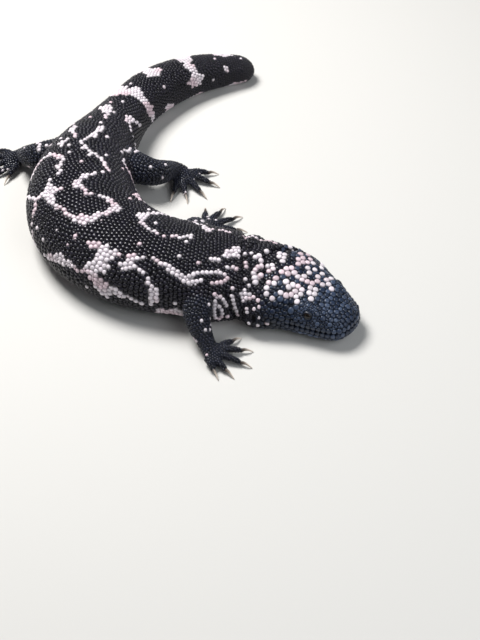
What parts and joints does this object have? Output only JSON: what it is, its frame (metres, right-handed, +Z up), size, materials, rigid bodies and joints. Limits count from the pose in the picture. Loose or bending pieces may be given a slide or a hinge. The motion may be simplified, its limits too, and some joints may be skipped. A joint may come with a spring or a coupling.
{
  "type": "gila monster",
  "caption": "Life-size gila monster lying on its belly, body curved, head turned to its right, with raised beads over head, back, tail and limbs.",
  "frame": {"origin": "middle of the flat under the belly, on the floor", "axes": "+Z up; +X to the right as the picture's camera sees it, which is the way the shoulders face; +Y away from that camera"},
  "size_m": [0.2543, 0.3016, 0.0465],
  "materials": {
    "beaded_skin": "near black with a soft sheen, cast and painted",
    "claw_horn": "pale horn, satin",
    "eye_gloss": "dark and glossy"
  },
  "bodies": {
    "root": {"belly": "beaded_skin", "chest": "beaded_skin", "eye_left": "eye_gloss", "eye_right": "eye_gloss", "foot_left": "beaded_skin", "foot_left_claw_1": "claw_horn", "foot_left_claw_2": "claw_horn", "foot_left_claw_3": "claw_horn", "foot_left_claw_4": "claw_horn", "foot_left_claw_5": "claw_horn", "foot_right": "beaded_skin", "foot_right_claw_1": "claw_horn", "foot_right_claw_2": "claw_horn", "foot_right_claw_3": "claw_horn", "foot_right_claw_4": "claw_horn", "foot_right_claw_5": "claw_horn", "foreleg_left_lower": "beaded_skin", "foreleg_left_upper": "beaded_skin", "foreleg_right_lower": "beaded_skin", "foreleg_right_upper": "beaded_skin", "hand_left": "beaded_skin", "hand_left_claw_1": "claw_horn", "hand_left_claw_2": "claw_horn", "hand_left_claw_3": "claw_horn", "hand_left_claw_4": "claw_horn", "hand_left_claw_5": "claw_horn", "hand_right": "beaded_skin", "hand_right_claw_1": "claw_horn", "hand_right_claw_2": "claw_horn", "hand_right_claw_3": "claw_horn", "hand_right_claw_4": "claw_horn", "hand_right_claw_5": "claw_horn", "head": "beaded_skin", "hind_leg_left_lower": "beaded_skin", "hind_leg_left_upper": "beaded_skin", "hind_leg_right_lower": "beaded_skin", "hind_leg_right_upper": "beaded_skin", "hips": "beaded_skin", "lower_jaw": "beaded_skin", "neck": "beaded_skin", "tail_base": "beaded_skin", "tail_middle": "beaded_skin", "tail_tip": "beaded_skin"}
  },
  "joints": []
}
